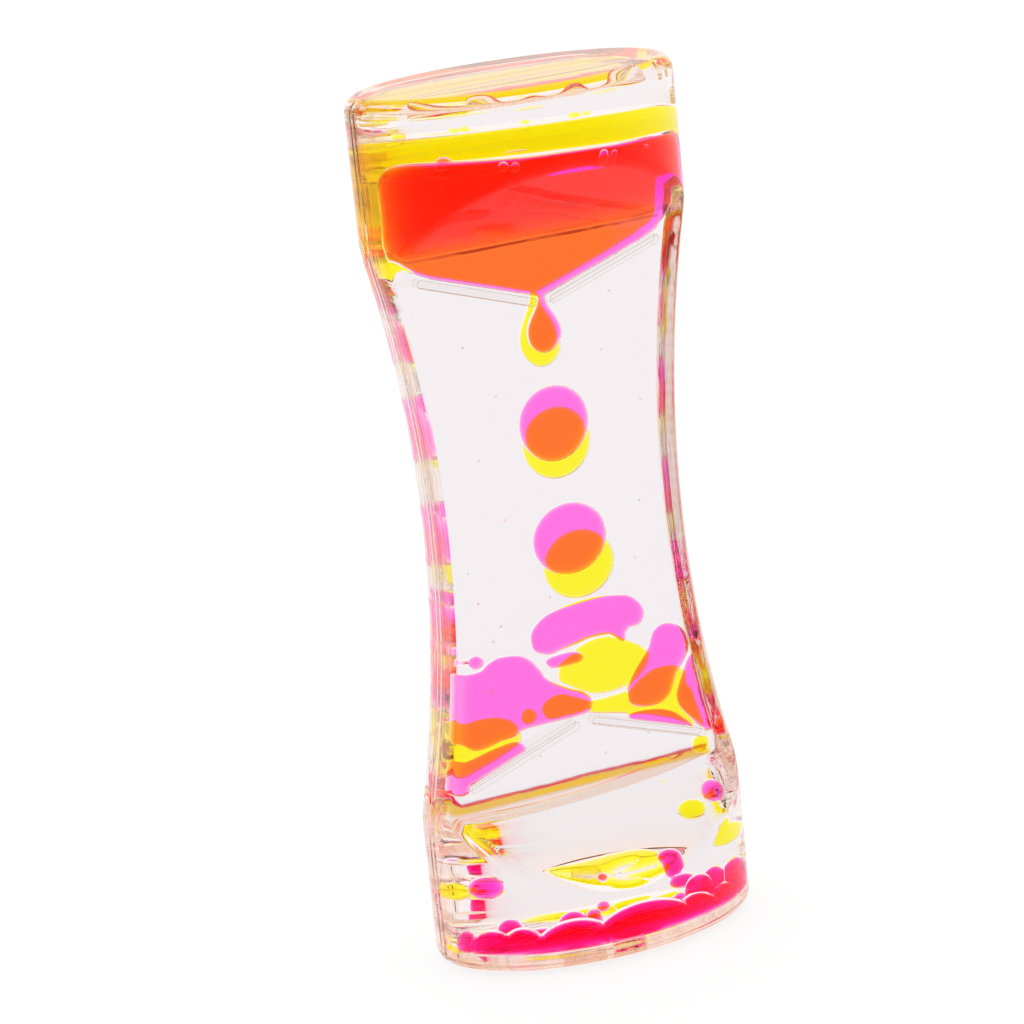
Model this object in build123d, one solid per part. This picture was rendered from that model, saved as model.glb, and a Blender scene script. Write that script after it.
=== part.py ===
"""Liquid motion timer: a clear hourglass case with two flat chambers, in which
pink oil (front) and yellow oil (rear) drip through clear carrier liquid.

Frame: millimetres, +Z up, +X to the right, -Y is the front.
Origin: centre of the flat base.
"""
import os
from math import atan2, cos, degrees, sin, sqrt

from build123d import *

os.makedirs("parts", exist_ok=True)

# ---------------------------------------------------------------- case
HEIGHT = 135.0          # base to top
END_WIDTH = 52.6        # width of the two oval end blocks
END_DEPTH = 34.8        # front to back at the middle of the end blocks
WAIST_WIDTH = 41.4      # narrowest width, at half height
WAIST_DEPTH = 11.0      # front to back of the flat waist
KINK_Z = 23.4           # height of the straight-sided end block
FACET_Z = 24.0          # height where the 45 degree facet meets the flat waist
RIM_R = 2.4             # rounded rim of base and top
WAIST_EDGE_R = 1.2      # long edges of the waist
SECTIONS = 13           # cross-sections that carry the concave sides

WALL_SIDE = 2.3         # side walls
WALL_FACE = 2.0         # window and bulged faces
WALL_END = 2.4          # floor and ceiling
DIVIDER = 1.2           # centre plate between the two chambers

# ---------------------------------------------------------------- baffles
BAFFLE_T = 1.3          # thickness of each strip
NOZZLE_HALF = 1.1       # half of the gap between the inner ends
BAFFLE_OUT_X = 20.6     # outer end of each strip
BAFFLE_IN_Z = 34.2      # inner end, from the nearer end of the case
BAFFLE_OUT_Z = 28.2     # outer end, from the nearer end of the case

# ---------------------------------------------------------------- fill plugs
PLUG_D = 5.0
PLUG_Y = 8.5
PLUG_RECESS = 0.4

# ---------------------------------------------------------------- liquids
FILM = 0.2              # carrier film between oil and any wall
PINK_LEVEL = 123.4      # surface of the pink oil above the upper baffles, in the middle
PINK_SLOPE = 0.045      # fall of that surface towards +X
YELLOW_LEVEL = 127.3    # surface of the yellow oil above the upper baffles, in the middle
YELLOW_SLOPE = 0.03     # fall of that surface towards +X
PINK_POOL_TOP = 4.4     # surface of the pink oil on the floor
PUDDLE_TOP = 4.0        # top of the yellow oil on the floor
STRIP_FILM = 0.12       # carrier film between oil and a baffle strip
SIDE_SAG = 0.6          # fall of the oval side wall across a chamber
LANE_GAP = 0.15         # carrier clearance beside a moving drop

HALF_W = END_WIDTH / 2
HALF_D = END_DEPTH / 2
MID_Z = HEIGHT / 2
HALF_T = DIVIDER / 2
WAIST_IN = WAIST_DEPTH / 2 - WALL_FACE      # inner face of the window
GAP_MID = (WAIST_IN + HALF_T) / 2           # middle of a chamber at the waist

SIDE_DROP = (END_WIDTH - WAIST_WIDTH) / 2
SIDE_R = ((MID_Z - KINK_Z) ** 2 + SIDE_DROP**2) / (2 * SIDE_DROP)
SIDE_C = WAIST_WIDTH / 2 + SIDE_R           # centre of the concave side


def side_x(z, wall=0.0):
    """Half width of the case at height z, less a wall."""
    arc = SIDE_C - sqrt((SIDE_R + wall) ** 2 - (z - MID_Z) ** 2)
    return min(arc, HALF_W - wall)


def oval_column(inset_x, inset_y, inset_z):
    """Oval column, inset all round, whose width follows the hourglass outline."""
    hw, hd = HALF_W - inset_x, HALF_D - inset_y
    reach = sqrt((SIDE_R + inset_x) ** 2 - (SIDE_C - hw) ** 2)
    lo, hi = MID_Z - reach, MID_Z + reach
    levels = [lo + (hi - lo) * k / (SECTIONS - 1) for k in range(SECTIONS)]
    waist = loft([Pos(0, 0, z) * Ellipse(side_x(z, inset_x), hd) for z in levels])
    block = extrude(Ellipse(hw, hd), lo - inset_z)
    return waist + Pos(0, 0, inset_z) * block + Pos(0, 0, hi) * block


def waist_block(inset):
    """Flat-sided block with the concave side outline of the waist."""
    hw, waist = HALF_W - inset, WAIST_WIDTH / 2 - inset
    reach = sqrt((SIDE_R + inset) ** 2 - (SIDE_C - hw) ** 2)
    lo, hi = MID_Z - reach, MID_Z + reach
    face = make_face(
        [
            Line((-hw, lo), (hw, lo)),
            ThreePointArc((hw, lo), (waist, MID_Z), (hw, hi)),
            Line((hw, hi), (-hw, hi)),
            ThreePointArc((-hw, hi), (-waist, MID_Z), (-hw, lo)),
        ]
    )
    return extrude(Plane.XZ * face, 40, both=True)


def facets(inset):
    """Block with the side profile: flat waist, 45 degree facets to both ends."""
    y = WAIST_DEPTH / 2 - inset
    z = FACET_Z - inset * (sqrt(2) - 1)
    b = y + z + 1
    face = make_face(
        Polyline(
            (b, -1), (y, z), (y, HEIGHT - z), (b, HEIGHT + 1),
            (-b, HEIGHT + 1), (-y, HEIGHT - z), (-y, z), (-b, -1), close=True,
        )
    )
    return extrude(Plane.YZ * face, 60, both=True)


def slab(y0, y1):
    """Everything between two planes of constant y."""
    return Pos(0, (y0 + y1) / 2, MID_Z) * Box(120, y1 - y0, 300)


# ---------------------------------------------------------------- case solids
outer = oval_column(0, 0, 0) & facets(0)
long_edges = [
    e for e in outer.edges()
    if FACET_Z < (e @ 0.5).Z < HEIGHT - FACET_Z
    and abs(abs((e @ 0.5).Y) - WAIST_DEPTH / 2) < 0.01
    and abs((e @ 0.5).X) > 15
]
outer = outer.fillet(WAIST_EDGE_R, long_edges)
rims = [e for e in outer.edges() if min(abs((e @ 0.5).Z), abs((e @ 0.5).Z - HEIGHT)) < 0.01]
outer = outer.fillet(RIM_R, rims)

cavity = oval_column(WALL_SIDE, WALL_FACE, WALL_END) & facets(WALL_FACE)
oil_room = oval_column(WALL_SIDE + FILM, WALL_FACE + FILM, WALL_END + FILM) & facets(WALL_FACE + FILM)

front_half, rear_half = slab(-60, -HALF_T), slab(HALF_T, 60)
divider_plate = outer & slab(-HALF_T, HALF_T)
plug_hole = Pos(0, 0, WALL_END / 2) * Cylinder(PLUG_D / 2, WALL_END + 2)
front_shell = (outer & front_half) - cavity - Pos(0, -PLUG_Y, 0) * plug_hole
rear_shell = (outer & rear_half) - cavity - Pos(0, PLUG_Y, 0) * plug_hole

plug = Pos(0, 0, (WALL_END + PLUG_RECESS) / 2) * Cylinder(PLUG_D / 2, WALL_END - PLUG_RECESS)
front_fill_plug = Pos(0, -PLUG_Y, 0) * plug
rear_fill_plug = Pos(0, PLUG_Y, 0) * plug


# ---------------------------------------------------------------- baffles
def baffle(side, upper, y0, y1, grow=0.0):
    """One strip with rounded ends, from the window to the divider."""
    xi, xo = NOZZLE_HALF + BAFFLE_T / 2, BAFFLE_OUT_X - BAFFLE_T / 2
    zi, zo = BAFFLE_IN_Z, BAFFLE_OUT_Z
    if upper:
        zi, zo = HEIGHT - zi, HEIGHT - zo
    length = sqrt((xo - xi) ** 2 + (zo - zi) ** 2)
    angle = degrees(atan2(zo - zi, side * (xo - xi)))
    strip = SlotCenterToCenter(length, BAFFLE_T + 2 * grow, rotation=angle)
    strip = Pos(side * (xi + xo) / 2, (zi + zo) / 2) * strip
    return extrude(Plane.XZ.offset(-y0) * strip, -(y1 - y0))


FRONT_Y = (-WAIST_IN, -HALF_T)
REAR_Y = (HALF_T, WAIST_IN)
baffles = {}
for hand, chamber in (("front", FRONT_Y), ("rear", REAR_Y)):
    for level, upper in (("upper", True), ("lower", False)):
        for name, side in (("left", -1), ("right", 1)):
            baffles[f"{hand}_{level}_{name}_baffle"] = baffle(side, upper, *chamber)


# ---------------------------------------------------------------- oil
def strips_with_film(upper):
    """Both pairs of strips on one level, grown by the carrier film."""
    return [baffle(side, upper, -40, 40, STRIP_FILM) for side in (-1, 1)]


def disc(x, z, hw, hh, chamber, tilt=0.0, edge=1.1):
    """Flattened drop between window and divider, with a rounded rim."""
    y0, y1 = chamber[0] + FILM, chamber[1] - FILM
    shape = Pos(x, z) * Ellipse(hw, hh, rotation=tilt)
    solid = extrude(Plane.XZ.offset(-y0) * shape, -(y1 - y0))
    rims = [e for e in solid.edges() if e.geom_type in (GeomType.ELLIPSE, GeomType.CIRCLE)]
    return solid.fillet(min(edge, 0.45 * hh), rims)


def bead(x, y, z, rx, ry, rz):
    """Loose rounded drop in the deep part of a chamber."""
    return Pos(x, y, z) * scale(Sphere(1), (rx, ry, rz))


def plate(points, chamber):
    """Flat blob with a smooth outline through the given x, z points."""
    y0, y1 = chamber[0] + FILM, chamber[1] - FILM
    face = make_face(Spline(*points, periodic=True))
    return extrude(Plane.XZ.offset(-y0) * face, -(y1 - y0))


def resting(points, chamber):
    """Flat blob that lies on the lower strips and against the side wall."""
    blob = plate(points, chamber) & waist_block(WALL_SIDE + FILM + SIDE_SAG)
    for strip in strips_with_film(False):
        blob = blob - strip
    return blob.solids().sort_by(SortBy.VOLUME)[-1]


def upper_pool(level, slope, tear, sign, chamber):
    """Oil above the upper baffles, with the drop hanging through the nozzle."""
    face = make_face(Polyline((-30, level + 30 * slope), *[(-x, z) for x, z in POOL_FLOOR], (0, NECK_Z),
                              *POOL_FLOOR[::-1], (30, level - 30 * slope), close=True))
    pool = extrude(Plane.XZ * face, 40, both=True) & oil_room
    pool = pool & (slab(-60, -HALF_T - FILM) if sign < 0 else slab(HALF_T + FILM, 60))
    pool = pool + plate(tear, chamber)
    for strip in strips_with_film(True):
        pool = pool - strip
    return pool.solids().sort_by(SortBy.VOLUME)[-1]


def floor_pool(top, sign, domes):
    """Oil lying on the floor, with the drops that have not merged yet."""
    half = slab(-60, -HALF_T - FILM) if sign < 0 else slab(HALF_T + FILM, 60)
    room = oil_room & half
    pool = room & (Pos(0, 0, top / 2) * Box(120, 120, top))
    for x, y, z, rx, ry, rz in domes:
        pool = pool + (bead(x, y, z, rx, ry, rz) & room)
    return pool


# underside of the oil above the upper baffles, from the side wall to the nozzle: x, z
POOL_FLOOR = [(30, 116), (24.0, 113.6), (22.9, 111.8), (21.9, 109.9), (20.5, 108.3), (17.8, 107.05), (1.0, 101.62)]
NECK_Z = 101.3
# outline of each hanging drop: x, z
PINK_TEAR = [(0.0, 102.2), (0.62, 100.9), (1.0, 99.8), (1.9, 98.3), (2.6, 96.8), (2.8, 95.3), (2.1, 93.9),
             (1.0, 93.0), (-0.3, 92.7), (-1.5, 93.1), (-2.5, 94.1), (-2.9, 95.6), (-2.7, 97.1), (-1.9, 98.6),
             (-1.0, 100.0), (-0.62, 100.9)]
YELLOW_TEAR = [(0.0, 102.2), (0.62, 100.9), (1.2, 99.7), (2.4, 97.9), (3.3, 95.9), (3.7, 93.8), (3.4, 92.0),
               (2.4, 90.7), (1.0, 90.1), (-0.4, 90.2), (-1.8, 91.1), (-2.8, 92.7), (-3.1, 94.6), (-2.5, 96.8),
               (-1.3, 99.2), (-0.62, 100.9)]

oil = {}
oil["pink_upper_pool"] = upper_pool(PINK_LEVEL, PINK_SLOPE, PINK_TEAR, -1, FRONT_Y)
oil["yellow_upper_pool"] = upper_pool(YELLOW_LEVEL, YELLOW_SLOPE, YELLOW_TEAR, 1, REAR_Y)

# falling drops: x, z, half width, half height
oil["pink_upper_drop"] = disc(0.0, 81.7, 5.9, 5.8, FRONT_Y)
oil["pink_lower_drop"] = disc(0.7, 63.5, 6.3, 5.6, FRONT_Y)
oil["yellow_upper_drop"] = disc(1.4, 78.0, 5.8, 5.6, REAR_Y)
oil["yellow_lower_drop"] = disc(3.1, 58.5, 6.1, 5.4, REAR_Y)

# pink oil resting on the lower baffles: x, z outlines
oil["pink_long_drop"] = resting(
    [(-7.7, 49.1), (-7.4, 50.3), (-6.4, 51.4), (-4.7, 52.4), (-2.1, 53.0), (1.5, 53.3), (5.0, 53.4),
     (7.6, 53.1), (9.8, 52.5), (11.4, 51.2), (12.1, 49.6), (11.8, 48.4), (10.8, 47.6), (9.4, 47.5),
     (8.6, 46.9), (8.5, 46.2), (8.2, 45.6), (7.6, 45.6), (6.8, 46.4), (5.8, 47.1), (4.3, 47.3),
     (2.2, 47.3), (-0.1, 46.9), (-2.8, 46.5), (-4.7, 46.2), (-6.2, 46.6), (-7.4, 47.4)],
    FRONT_Y,
)
oil["pink_oval_drop"] = resting(
    [(-5.6, 45.1), (-4.8, 45.7), (-2.8, 45.9), (-1.1, 45.9), (0.3, 45.5), (0.9, 44.7), (0.4, 44.0),
     (-1.0, 43.8), (-3.1, 43.8), (-4.8, 44.0)],
    FRONT_Y,
)
oil["pink_left_mass"] = resting(
    [(-21.2, 46.3), (-18.8, 46.1), (-16.6, 46.2), (-15.3, 47.0), (-13.4, 47.6), (-11.0, 47.4),
     (-9.3, 46.9), (-7.9, 45.8), (-6.7, 44.2), (-5.7, 42.6), (-4.1, 41.4), (-1.8, 40.1), (0.4, 39.1),
     (1.5, 37.9), (1.6, 36.8), (0.9, 35.8), (-1.4, 35.5), (-4.4, 35.5), (-7.5, 35.5), (-10.6, 35.4),
     (-12.2, 34.7), (-14.6, 34.5), (-16.9, 34.0), (-19.1, 34.0), (-20.3, 34.8), (-21.2, 35.9),
     (-22.1, 35.8), (-22.4, 37.3), (-21.8, 42.7)],
    FRONT_Y,
)
oil["pink_left_wedge"] = resting(
    [(-24.1, 28.9), (-22.9, 27.6), (-21.2, 27.4), (-20.3, 28.3), (-17.5, 29.4), (-14.1, 30.6),
     (-11.1, 31.6), (-10.5, 32.6), (-11.2, 33.6), (-12.5, 34.0), (-15.5, 33.7), (-18.5, 33.1),
     (-20.7, 32.7), (-22.2, 32.9), (-23.5, 31.1)],
    FRONT_Y,
)
oil["pink_small_left_drop"] = resting(
    [(-18.6, 47.8), (-18.1, 48.5), (-17.2, 48.7), (-16.3, 48.2), (-16.0, 47.5), (-16.5, 46.8),
     (-17.5, 46.6), (-18.3, 47.0)],
    FRONT_Y,
)
oil["pink_right_mass"] = resting(
    [(12.9, 45.1), (12.2, 43.5), (10.7, 41.8), (9.3, 40.2), (8.1, 38.2), (7.9, 36.8), (8.1, 35.6),
     (9.1, 34.8), (10.8, 34.4), (12.6, 34.3), (14.2, 34.7), (15.3, 35.7), (16.0, 37.1), (16.7, 38.6),
     (17.9, 40.0), (19.0, 41.6), (19.3, 43.0), (18.8, 44.8), (17.8, 46.0), (16.2, 46.8), (14.8, 46.8),
     (13.5, 46.1)],
    FRONT_Y,
)
oil["pink_right_wedge"] = resting(
    [(19.8, 41.0), (20.3, 39.4), (20.7, 36.4), (21.2, 33.0), (22.0, 29.6), (22.1, 28.4), (21.1, 28.1),
     (20.1, 28.9), (18.9, 30.3), (17.6, 31.8), (16.7, 33.1), (16.3, 34.7), (16.6, 35.9), (17.3, 37.4),
     (18.1, 38.9), (18.9, 40.3)],
    FRONT_Y,
)
oil["pink_right_sliver"] = resting(
    [(7.8, 33.9), (9.9, 34.0), (13.1, 33.6), (15.4, 32.7), (17.0, 31.4), (18.5, 29.9), (19.1, 28.9),
     (18.4, 28.3), (17.2, 28.9), (14.5, 30.2), (11.4, 31.5), (8.5, 32.6), (7.7, 33.2)],
    FRONT_Y,
)

# yellow oil resting on the lower baffles: x, z outlines
oil["yellow_landed_drop"] = resting(
    [(-2.4, 41.6), (-2.1, 42.8), (-0.9, 44.0), (1.2, 45.3), (3.7, 46.1), (6.5, 46.2), (8.4, 45.5),
     (10.8, 44.4), (12.4, 43.3), (13.4, 42.2), (13.5, 41.0), (12.7, 39.7), (11.4, 38.6), (9.7, 37.9),
     (7.7, 37.4), (5.6, 37.3), (3.3, 37.6), (1.3, 38.5), (-0.7, 39.7), (-2.2, 40.7)],
    REAR_Y,
)
oil["yellow_right_mass"] = resting(
    [(-5.7, 37.3), (-4.8, 38.3), (-3.2, 38.8), (-1.7, 38.7), (0.5, 37.7), (2.9, 36.7), (6.2, 36.6),
     (9.5, 37.0), (11.6, 38.1), (13.8, 39.1), (16.3, 39.3), (18.4, 38.8), (19.5, 37.6), (19.8, 35.7),
     (20.6, 34.5), (21.2, 32.3), (21.9, 29.7), (22.4, 27.7), (21.2, 27.9), (19.5, 29.0), (16.8, 30.4),
     (13.0, 31.9), (9.5, 33.0), (6.1, 33.8), (2.9, 34.4), (0.9, 34.7), (-2.3, 34.6), (-4.7, 35.0),
     (-5.6, 36.2)],
    REAR_Y,
)
oil["yellow_left_mass"] = resting(
    [(-21.9, 38.6), (-20.8, 38.3), (-19.6, 37.6), (-18.4, 37.8), (-16.2, 37.9), (-13.3, 37.5),
     (-11.0, 36.4), (-9.9, 34.7), (-9.9, 33.1), (-11.0, 32.2), (-14.2, 30.9), (-17.4, 30.0),
     (-20.1, 29.2), (-21.5, 29.1), (-22.5, 31.1), (-22.5, 35.1)],
    REAR_Y,
)
oil["yellow_small_drop"] = resting(
    [(-9.4, 36.6), (-9.0, 37.4), (-8.3, 37.8), (-7.4, 37.5), (-6.7, 36.6), (-7.0, 35.5), (-8.0, 35.0),
     (-8.9, 35.3), (-9.3, 35.9)],
    REAR_Y,
)

# oil on the floor of the lower reservoir: x, y, z, radii of the drops that have not merged yet
oil["pink_lower_pool"] = floor_pool(
    PINK_POOL_TOP, -1,
    [(-9.4, -8.6, 2.7, 6.2, 6.6, 4.0), (1.9, -8.8, 2.7, 8.4, 6.9, 4.4), (12.3, -7.5, 5.6, 2.6, 2.6, 2.6),
     (15.4, -5.4, 5.2, 2.6, 2.8, 3.0), (19.4, -4.7, 4.6, 3.2, 3.4, 3.6), (-16.4, -7.3, 3.7, 2.9, 3.1, 3.0),
     (-19.7, -4.5, 3.5, 3.0, 3.2, 2.9), (10.6, -3.2, 5.5, 2.4, 2.0, 2.1), (-5.9, -3.0, 4.2, 2.1, 1.9, 2.1),
     (-15.2, -3.0, 5.0, 1.9, 1.8, 2.1)],
)
puddle = make_face(Spline((-6.9, 9.9), (-3.7, 9.7), (1.4, 9.2), (5.0, 9.3), (9.8, 8.0), (12.3, 5.2), (10.7, 2.4),
                          (6.8, 1.5), (3.5, 2.2), (0.6, 3.4), (-2.2, 5.0), (-4.9, 7.3), periodic=True))
oil["yellow_lower_pool"] = extrude(Pos(0, 0, WALL_END + FILM) * puddle, PUDDLE_TOP - WALL_END - FILM)
oil["pink_left_loose_drop"] = bead(-19.1, -4.2, 12.9, 2.8, 2.4, 1.9)
oil["pink_right_loose_drop"] = bead(19.8, -4.5, 17.7, 2.0, 2.0, 2.0)
oil["yellow_upper_loose_drop"] = bead(18.7, 4.0, 10.5, 2.5, 1.9, 1.8)
oil["yellow_lower_loose_drop"] = bead(-17.2, 5.0, 10.4, 1.7, 1.5, 1.5)
oil["yellow_gap_drop"] = disc(20.6, 25.2, 1.5, 1.7, REAR_Y, edge=0.6)

# ---------------------------------------------------------------- carrier liquid
# Travel of each moving drop, up and down from where it stands.
TRAVEL = {
    "pink_upper_drop": (4.6, 3.8),
    "pink_lower_drop": (4.6, 3.8),
    "yellow_upper_drop": (6.0, 6.2),
    "yellow_lower_drop": (6.0, 6.2),
    "pink_left_loose_drop": (3.0, 4.0),
    "pink_right_loose_drop": (0.5, 6.2),
    "yellow_upper_loose_drop": (2.0, 5.5),
    "yellow_lower_loose_drop": (2.0, 4.0),
    "yellow_gap_drop": (0.3, 4.0),
}


def lane(name):
    """Clear path of a moving drop through the carrier."""
    box = oil[name].bounding_box()
    up, down = TRAVEL[name]
    size = box.size
    mid = box.center()
    g = LANE_GAP
    return Pos(mid.X, mid.Y, mid.Z + (up - down) / 2) * Box(
        size.X + 2 * g, size.Y + 2 * g, size.Z + up + down + 2 * g
    )


def carrier(half, colour, hand):
    fluid = cavity & half
    for name, strip in baffles.items():
        if name.startswith(hand):
            fluid = fluid - strip
    for name, blob in oil.items():
        if name.startswith(colour):
            fluid = fluid - (lane(name) if name in TRAVEL else blob)
    return fluid


front_carrier_liquid = carrier(front_half, "pink", "front")
rear_carrier_liquid = carrier(rear_half, "yellow", "rear")

# ---------------------------------------------------------------- files
nodes = {
    "front_shell": front_shell,
    "rear_shell": rear_shell,
    "divider_plate": divider_plate,
    "front_fill_plug": front_fill_plug,
    "rear_fill_plug": rear_fill_plug,
    "front_carrier_liquid": front_carrier_liquid,
    "rear_carrier_liquid": rear_carrier_liquid,
    **baffles,
    **oil,
}
for name, solid in nodes.items():
    export_step(solid, f"parts/{name}.step")
    print(f"{name:28s} {solid.volume:10.1f} mm3  valid={solid.is_valid}  solids={len(solid.solids())}")
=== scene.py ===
import math

import bpy
import numpy as np
from mathutils import Matrix, Vector
from mathutils.geometry import tessellate_polygon


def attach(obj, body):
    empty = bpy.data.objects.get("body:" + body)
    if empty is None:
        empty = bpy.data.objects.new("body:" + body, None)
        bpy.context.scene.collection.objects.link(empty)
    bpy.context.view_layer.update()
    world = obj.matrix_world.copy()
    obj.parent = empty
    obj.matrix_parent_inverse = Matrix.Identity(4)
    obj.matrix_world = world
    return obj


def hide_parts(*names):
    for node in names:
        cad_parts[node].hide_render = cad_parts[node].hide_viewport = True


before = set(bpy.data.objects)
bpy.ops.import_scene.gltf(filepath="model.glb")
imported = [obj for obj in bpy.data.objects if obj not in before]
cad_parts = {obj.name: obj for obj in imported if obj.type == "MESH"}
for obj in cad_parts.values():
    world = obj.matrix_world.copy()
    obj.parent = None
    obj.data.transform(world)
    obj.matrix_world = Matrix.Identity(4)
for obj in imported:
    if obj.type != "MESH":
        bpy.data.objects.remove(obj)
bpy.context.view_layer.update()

MM = 0.001
scene = bpy.context.scene

# ------------------------------------------------------------------ sizes, mm
H = 135.0
HALF_W, HALF_D = 26.3, 17.39
WAIST_HALF, WAIST_Y = 20.7, 5.5
KINK_Z, FACET_Z = 23.4, 24.0
WALL_SIDE, WALL_FACE, WALL_END = 2.3, 2.0, 2.4
HALF_T = 0.6
FILM = 0.2
MID = H / 2
DROP = HALF_W - WAIST_HALF
SIDE_R = ((MID - KINK_Z) ** 2 + DROP**2) / (2 * DROP)
SIDE_C = WAIST_HALF + SIDE_R
GAP_IN = WAIST_Y - WALL_FACE                # inner face of the window
GAP_MID = (GAP_IN + HALF_T) / 2             # middle of a chamber
GAP_HALF = (GAP_IN - HALF_T) / 2 - FILM     # half thickness of a flattened drop
BAFFLE_T, NOZZLE, BAFFLE_X = 1.3, 1.1, 20.6
BAFFLE_IN, BAFFLE_OUT = 34.2, 28.2
PLUG_R, PLUG_Y, PLUG_RECESS = 2.5, 8.5, 0.4


# ------------------------------------------------------------------ fields
def smin(a, b, k):
    h = np.maximum(k - np.abs(a - b), 0.0) / k
    return np.minimum(a, b) - h * h * k / 4


def smax(a, b, k):
    return -smin(-a, -b, k)


def rmax(a, b, r):
    """Intersection of two fields with its edge rounded to radius r."""
    return (
        np.minimum(np.maximum(a, b) + r, 0.0)
        + np.hypot(np.maximum(a + r, 0.0), np.maximum(b + r, 0.0))
        - r
    )


def case(x, y, z, wall=(0.0, 0.0, 0.0), radii=(1.0, 2.4), seam=0.0):
    """Oval hourglass case, less a wall: negative inside."""
    ws, wf, we = wall
    zz = np.minimum(z, H - z)
    arc = SIDE_C - np.sqrt((SIDE_R + ws) ** 2 - (z - MID) ** 2)
    a = smin(arc, HALF_W - ws + 0.0 * z, 0.8)
    b = HALF_D - wf
    k = np.hypot(x / a, y / b)
    f = (k - 1) * k / np.maximum(np.hypot(x / a**2, y / b**2), 1e-6)
    f = np.where(k < 0.3, -5.0, f)
    if seam:
        f = f + seam * np.exp(-(((np.abs(y) - HALF_T) / 0.2) ** 2))
    yw = WAIST_Y - wf
    zf = FACET_Z - wf * (math.sqrt(2) - 1)
    slope = yw + zf - zz
    s = np.clip((slope - yw) / 1.6 + 0.5, 0.0, 1.0)
    fc = (np.abs(y) - smax(yw + 0.0 * zz, slope, 1.6)) / np.sqrt(1 + s * s)
    f = rmax(f, fc, radii[0])
    return rmax(f, we - zz, radii[1])


CAVITY = (WALL_SIDE, WALL_FACE, WALL_END)
CAVITY_R = (0.7, 0.6)
ROOM = (WALL_SIDE + FILM, WALL_FACE + FILM, WALL_END + FILM)


def gradient(field, p, e=0.02):
    g = np.empty_like(p)
    for i in range(3):
        d = np.zeros(3)
        d[i] = e
        a, b = p + d, p - d
        g[:, i] = (field(a[:, 0], a[:, 1], a[:, 2]) - field(b[:, 0], b[:, 1], b[:, 2])) / (2 * e)
    return g


def unit(v):
    return v / np.maximum(np.linalg.norm(v, axis=1, keepdims=True), 1e-9)


# ------------------------------------------------------------------ materials
def principled(name):
    m = bpy.data.materials.new(name)
    m.use_nodes = True
    t = m.node_tree
    return m, t, t.nodes["Principled BSDF"], t.nodes["Material Output"]


def noise(t, scale, detail=3.0, rough=0.55, stretch=None, shift=(0.0, 0.0, 0.0)):
    """Noise in the object's own space, in metres."""
    c = t.nodes.new("ShaderNodeTexCoord")
    m = t.nodes.new("ShaderNodeMapping")
    m.inputs["Location"].default_value = shift
    if stretch:
        m.inputs["Scale"].default_value = stretch
    n = t.nodes.new("ShaderNodeTexNoise")
    n.inputs["Scale"].default_value = scale
    n.inputs["Detail"].default_value = detail
    n.inputs["Roughness"].default_value = rough
    t.links.new(c.outputs["Object"], m.inputs["Vector"])
    t.links.new(m.outputs["Vector"], n.inputs["Vector"])
    return n


def spread(t, value, low, high, frm=0.35, to=0.7):
    r = t.nodes.new("ShaderNodeMapRange")
    r.inputs["From Min"].default_value = frm
    r.inputs["From Max"].default_value = to
    r.inputs["To Min"].default_value = low
    r.inputs["To Max"].default_value = high
    t.links.new(value, r.inputs["Value"])
    return r.outputs["Result"]


def bump(t, shader, height, strength, distance):
    b = t.nodes.new("ShaderNodeBump")
    b.inputs["Strength"].default_value = strength
    b.inputs["Distance"].default_value = distance
    t.links.new(height, b.inputs["Height"])
    t.links.new(b.outputs["Normal"], shader.inputs["Normal"])


def clear(name, ior, tint, wave=0.0, haze=0.0, seed=0.0):
    """Clear moulded plastic: faint mould waviness and a trace of handling haze."""
    m, t, s, _ = principled(name)
    s.inputs["Base Color"].default_value = (*tint, 1)
    s.inputs["Transmission Weight"].default_value = 1.0
    s.inputs["IOR"].default_value = ior
    s.inputs["Roughness"].default_value = 0.0
    if haze:
        n = noise(t, 90.0, 4.0, 0.6, shift=(seed, seed, seed))
        t.links.new(spread(t, n.outputs["Fac"], 0.0, haze, 0.52, 0.8), s.inputs["Roughness"])
    if wave:
        n = noise(t, 55.0, 1.5, 0.4, shift=(seed, 0.3, seed))
        bump(t, s, n.outputs["Fac"], wave, 0.0004)
    return m


def edge_mask(t):
    """Masks of the end rims, the side walls and the sides of the waist."""
    c = t.nodes.new("ShaderNodeTexCoord")
    place = t.nodes.new("ShaderNodeSeparateXYZ")
    t.links.new(c.outputs["Object"], place.inputs["Vector"])
    top = t.nodes.new("ShaderNodeMath")
    top.operation = "SUBTRACT"
    top.inputs[0].default_value = H * MM
    t.links.new(place.outputs["Z"], top.inputs[1])
    near = t.nodes.new("ShaderNodeMath")
    near.operation = "MINIMUM"
    t.links.new(place.outputs["Z"], near.inputs[0])
    t.links.new(top.outputs["Value"], near.inputs[1])
    ends = spread(t, near.outputs["Value"], 1.0, 0.0, 0.0006, 0.0034)
    flats = spread(t, near.outputs["Value"], 1.0, 0.0, 0.0001, 0.0004)
    waist = spread(t, near.outputs["Value"], 0.0, 1.0, 0.021, 0.027)
    g = t.nodes.new("ShaderNodeNewGeometry")
    way = t.nodes.new("ShaderNodeSeparateXYZ")
    t.links.new(g.outputs["Normal"], way.inputs["Vector"])
    flank = t.nodes.new("ShaderNodeMath")
    flank.operation = "ABSOLUTE"
    t.links.new(way.outputs["X"], flank.inputs[0])
    depth = t.nodes.new("ShaderNodeMath")
    depth.operation = "ABSOLUTE"
    t.links.new(place.outputs["Y"], depth.inputs[0])
    sides = both(t, "MULTIPLY", spread(t, flank.outputs["Value"], 0.0, 1.0, 0.93, 0.97), spread(t, depth.outputs["Value"], 1.0, 0.0, 0.0034, 0.0050))
    return ends, flats, sides, both(t, "MULTIPLY", sides, waist)


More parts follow.
